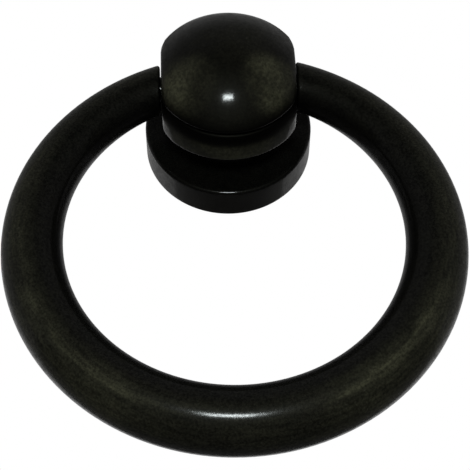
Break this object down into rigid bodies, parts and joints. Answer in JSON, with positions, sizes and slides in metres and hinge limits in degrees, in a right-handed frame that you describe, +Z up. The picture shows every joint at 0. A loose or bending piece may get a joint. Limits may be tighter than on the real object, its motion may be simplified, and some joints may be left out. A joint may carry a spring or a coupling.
{
  "type": "ring pull handle",
  "caption": "Drawer pull with a round bar ring that hangs from a dome-headed post and swings up for gripping; screwed to a panel through a tapped hole in its base.",
  "frame": {"origin": "centre of the back of the base disc, on the panel that carries the pull, at the mouth of the tapped hole", "axes": "+Z up along the panel, so the ring hangs towards -Z; +Y into the panel, so the post stands out towards -Y; +X along the ring's pivot"},
  "size_m": [0.06, 0.0226, 0.0664],
  "materials": {
    "post_iron": "blackened and waxed, satin, smooth turned surface",
    "ring_iron": "blackened and waxed, satin, lightly worn to olive brown along the outside"
  },
  "bodies": {
    "post": {"post": "post_iron"},
    "ring": {"ring": "ring_iron"}
  },
  "joints": [
    {"name": "ring_swing", "type": "hinge", "parent": "post", "child": "ring", "pos_m": [0, -0.0138, 0], "axis": [-1, 0, 0], "range_deg": [-10.8, 190.8]}
  ]
}
